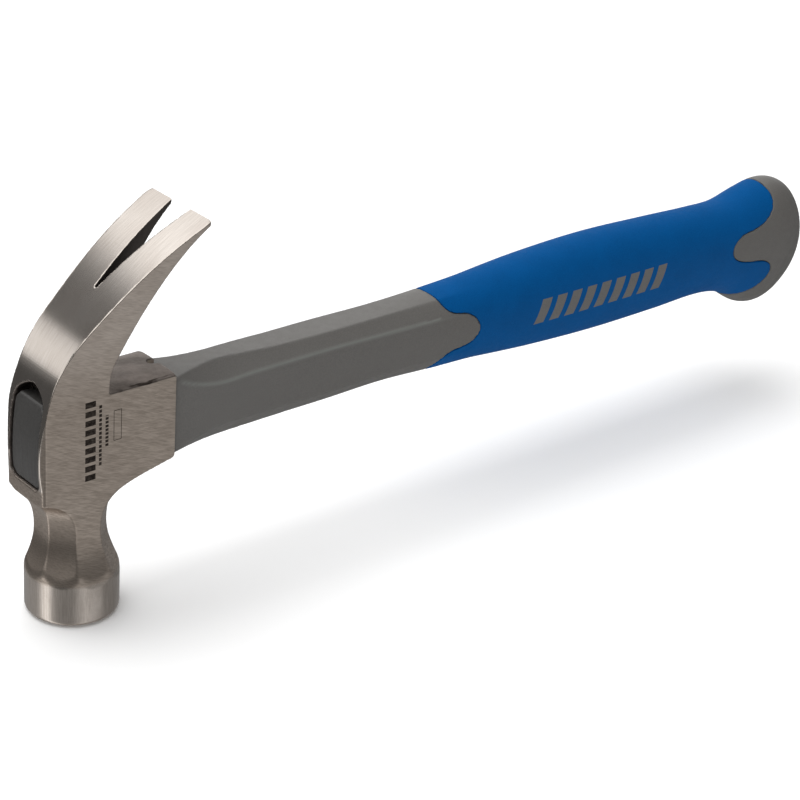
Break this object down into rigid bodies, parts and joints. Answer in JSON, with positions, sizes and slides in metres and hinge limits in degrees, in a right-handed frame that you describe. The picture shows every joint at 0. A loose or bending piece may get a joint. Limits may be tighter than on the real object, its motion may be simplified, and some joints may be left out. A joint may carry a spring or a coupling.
{
  "type": "claw hammer",
  "caption": "Claw hammer: forged steel head with a round poll, octagonal neck and split curved claw, on a moulded fibreglass-cored shaft with a soft grip.",
  "frame": {"origin": "centre of the round striking face", "axes": "+Z from the striking face up to the claw, so the head strikes along -Z; +X along the handle from the head to the butt; the cheeks face -Y and +Y"},
  "size_m": [0.324, 0.03, 0.1199],
  "materials": {
    "head_steel": "ground and polished",
    "eye_plastic": "satin",
    "resin": "cured resin",
    "fibreglass": "pultruded glass fibre",
    "shaft_plastic": "moulded satin",
    "grip_rubber": "soft matte"
  },
  "bodies": {
    "root": {"steel_head": "head_steel", "eye_plug": "eye_plastic", "bonding_resin": "resin", "fibreglass_core": "fibreglass", "shaft_moulding": "shaft_plastic", "soft_grip": "grip_rubber"}
  },
  "joints": []
}
